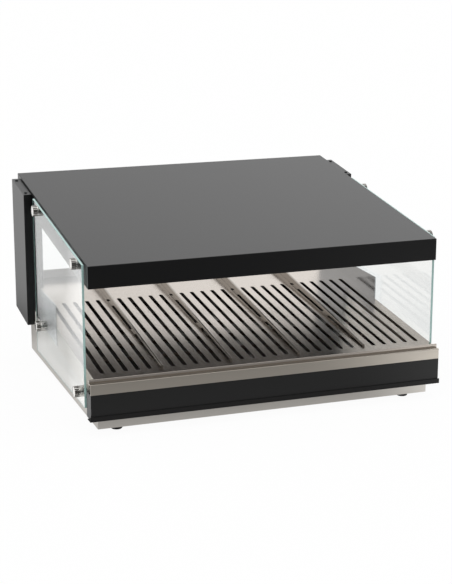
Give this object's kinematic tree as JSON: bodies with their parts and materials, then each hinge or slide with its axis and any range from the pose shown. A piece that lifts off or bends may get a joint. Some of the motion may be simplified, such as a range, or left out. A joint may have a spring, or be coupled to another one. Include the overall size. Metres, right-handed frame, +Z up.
{
  "type": "food warmer",
  "caption": "Counter-top food warmer: a sloping slotted shelf with low lane dividers under a sloping heated hood, glass at both sides, open front and back",
  "frame": {"origin": "centre of the bounding box, on the plane the rubber feet stand on", "axes": "+Z up; -Y is the low open front; +X is to the right seen from the front and is the longest side"},
  "size_m": [0.672, 0.554, 0.3587],
  "materials": {
    "black_powder_coat": "fine satin black powder coat",
    "black_front_coat": "satin black powder coat",
    "brushed_stainless": "brushed along the length",
    "shelf_stainless": "brushed from front to back",
    "plain_steel": "mill finish sheet",
    "bright_aluminium": "bright reflector sheet",
    "heater_sheath": "dull heat-tinted sheath",
    "clamp_steel": "fine turned stainless",
    "clear_sleeve": "clear soft plastic",
    "clear_glass": "clear toughened, greenish edges",
    "foot_rubber": "matt moulded rubber",
    "mineral_wool": "pale mineral fibre",
    "black_plastic": "fine-grained black plastic",
    "rocker_plastic": "smooth black plastic",
    "lamp_lens": "translucent amber plastic",
    "screw_steel": "zinc-plated steel",
    "black_screw": "blackened steel",
    "brass_plate": "nickel-plated brass",
    "block_plastic": "pale heat-resistant plastic"
  },
  "bodies": {
    "cabinet": {"base_shell": "brushed_stainless", "base_floor": "plain_steel", "rubber_feet": "foot_rubber", "foot_screws": "screw_steel", "base_insulation": "mineral_wool", "heat_pan": "bright_aluminium", "partition": "plain_steel", "chamber_frame": "brushed_stainless", "shelf": "shelf_stainless", "front_lip": "brushed_stainless", "front_panel": "black_front_coat", "front_trim": "black_front_coat", "rear_wall": "brushed_stainless", "hood_shell": "black_powder_coat", "hood_insulation": "mineral_wool", "hood_liner": "plain_steel", "upper_heaters": "heater_sheath", "heater_clips": "plain_steel", "lower_heater": "heater_sheath", "heater_brackets": "plain_steel", "hood_bushes": "screw_steel", "column_spacers": "screw_steel", "column_screws": "black_screw", "glass_knobs": "clamp_steel", "glass_studs": "screw_steel", "glass_spacers": "clear_sleeve", "controls_plate": "black_front_coat", "controls_screws": "screw_steel", "switch_housing": "black_plastic", "pilot_lamps": "lamp_lens", "cord_gland": "brass_plate", "terminal_block": "block_plastic", "upright_left": "brushed_stainless", "upright_right": "brushed_stainless", "column_left": "black_powder_coat", "column_right": "black_powder_coat", "column_plate_left": "black_powder_coat", "column_plate_right": "black_powder_coat", "glass_left": "clear_glass", "glass_right": "clear_glass", "thermostat_upper": "block_plastic", "thermostat_lower": "block_plastic"},
    "divider_1": {"divider_1": "shelf_stainless"},
    "divider_2": {"divider_2": "shelf_stainless"},
    "divider_3": {"divider_3": "shelf_stainless"},
    "divider_4": {"divider_4": "shelf_stainless"},
    "upper_control": {"knob_upper": "black_plastic", "spindle_upper": "screw_steel"},
    "lower_control": {"knob_lower": "black_plastic", "spindle_lower": "screw_steel"},
    "rocker": {"switch_rocker": "rocker_plastic"}
  },
  "joints": [
    {"name": "divider_1_lift", "type": "slide", "parent": "cabinet", "child": "divider_1", "axis": [0, 0, 1], "range_m": [0, 0.1]},
    {"name": "divider_2_lift", "type": "slide", "parent": "cabinet", "child": "divider_2", "axis": [0, 0, 1], "range_m": [0, 0.1]},
    {"name": "divider_3_lift", "type": "slide", "parent": "cabinet", "child": "divider_3", "axis": [0, 0, 1], "range_m": [0, 0.1]},
    {"name": "divider_4_lift", "type": "slide", "parent": "cabinet", "child": "divider_4", "axis": [0, 0, 1], "range_m": [0, 0.1]},
    {"name": "upper_knob_turn", "type": "hinge", "parent": "cabinet", "child": "upper_control", "pos_m": [-0.092, 0.2557, 0.052], "axis": [0, -1, 0], "range_deg": [0, 270]},
    {"name": "lower_knob_turn", "type": "hinge", "parent": "cabinet", "child": "lower_control", "pos_m": [0.092, 0.2557, 0.052], "axis": [0, -1, 0], "range_deg": [0, 270]},
    {"name": "rocker_tip", "type": "hinge", "parent": "cabinet", "child": "rocker", "pos_m": [0, 0.2577, 0.052], "axis": [-1, 0, 0], "range_deg": [0, 16]}
  ]
}
